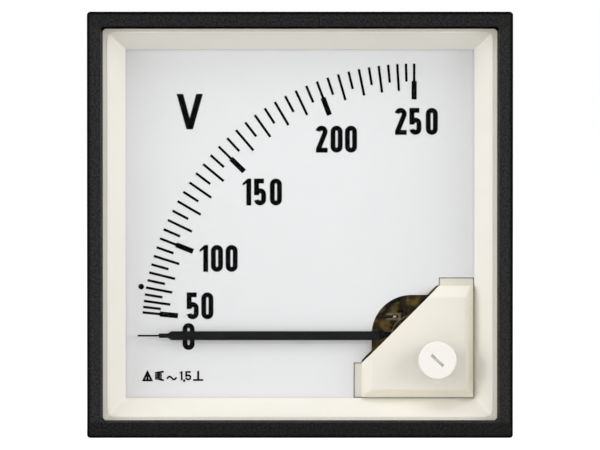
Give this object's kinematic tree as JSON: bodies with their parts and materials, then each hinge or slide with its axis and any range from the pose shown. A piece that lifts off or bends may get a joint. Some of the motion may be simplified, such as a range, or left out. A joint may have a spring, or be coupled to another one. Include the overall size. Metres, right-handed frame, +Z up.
{
  "type": "analog panel meter",
  "caption": "Square analog panel voltmeter with black bezel, cream mask, quadrant scale, long pointer, corner cover over the moving-iron movement, slotted zero adjuster and rear studs.",
  "frame": {"origin": "centre of the plane in which the back of the bezel meets the panel", "axes": "+X to the right seen from the front, +Y back through the panel, +Z up"},
  "size_m": [0.096, 0.0622, 0.096],
  "materials": {
    "bezel_plastic": "satin moulded, fine grain",
    "clear_pane": "clear polished",
    "cream_plastic": "satin moulded",
    "dial_paint": "matt white paint",
    "dial_ink": "matt black print",
    "cover_plastic": "satin moulded",
    "housing_plastic": "satin moulded, fine grain",
    "adjuster_plastic": "satin moulded",
    "spring_steel": "bright",
    "brass": "turned",
    "bridge_brass": "stamped, dull",
    "bronze_strip": "rolled strip",
    "zinc_steel": "zinc plated",
    "polished_steel": "polished",
    "ruby": "polished ruby",
    "pointer_black": "matt black paint",
    "aluminium": "turned",
    "soft_iron": "annealed sheet",
    "former_plastic": "moulded",
    "copper_wire": "enamelled copper",
    "clear_nylon": "natural nylon",
    "plate_bronze": "yellow passivated steel",
    "tinned_brass": "tinned",
    "solder": "bright tin",
    "wire_insulation": "extruded",
    "resistor_coat": "glazed",
    "contact_brass": "stamped",
    "stud_brass": "nickel-free brass, turned"
  },
  "bodies": {
    "casing": {"bezel": "bezel_plastic", "window": "clear_pane", "mask_frame": "cream_plastic", "dial_plate": "dial_paint", "scale_marks": "dial_ink", "corner_cover": "cover_plastic", "housing": "housing_plastic", "bearing_bridge": "bridge_brass", "bridge_pillars": "brass", "bridge_screws": "zinc_steel", "lever_bush": "brass", "front_jewel_screw": "brass", "front_jewel": "ruby", "rear_jewel_screw": "brass", "rear_jewel": "ruby", "rear_locknut": "brass", "fixed_iron": "soft_iron", "bobbin": "former_plastic", "coil_winding": "copper_wire", "damping_cup": "clear_nylon", "front_plate": "plate_bronze", "rear_plate": "plate_bronze", "plate_pillars": "brass", "plate_screws": "zinc_steel", "frame_screws": "zinc_steel", "coil_tags": "tinned_brass", "solder_joints": "solder", "lead_wires": "wire_insulation", "series_resistor": "resistor_coat", "contact_strip_left": "contact_brass", "contact_strip_right": "contact_brass", "terminal_stud_left": "stud_brass", "terminal_stud_right": "stud_brass", "terminal_nuts": "stud_brass", "terminal_washers": "zinc_steel", "terminal_clamps": "zinc_steel"},
    "adjuster": {"zero_adjuster": "adjuster_plastic", "adjuster_clip": "spring_steel"},
    "zero_lever": {"zero_lever": "brass", "spring_stud": "brass", "hairspring": "bronze_strip"},
    "arbor": {"spindle": "polished_steel", "spring_collet": "brass", "pointer": "pointer_black", "pointer_hub": "aluminium", "balance_arms": "spring_steel", "balance_weights": "brass", "iron_holder": "aluminium", "moving_iron": "soft_iron", "damping_disc": "aluminium"}
  },
  "joints": [
    {"name": "adjuster_turn", "type": "hinge", "parent": "casing", "child": "adjuster", "pos_m": [0.031, 0, -0.0306], "axis": [0, 1, 0], "range_deg": [-40, 40]},
    {"name": "lever_swing", "type": "hinge", "parent": "casing", "child": "zero_lever", "pos_m": [0.0257, 0, -0.0257], "axis": [0, 1, 0], "range_deg": [-5, 5]},
    {"name": "pointer_sweep", "type": "hinge", "parent": "zero_lever", "child": "arbor", "pos_m": [0.0257, 0, -0.0257], "axis": [0, 1, 0], "range_deg": [-3, 93], "stiffness_Nm_per_rad": 0.00012, "springref_deg": 9.17}
  ],
  "couplings": [
    {"joint": "lever_swing", "follows": "adjuster_turn", "ratio": 0.118}
  ]
}
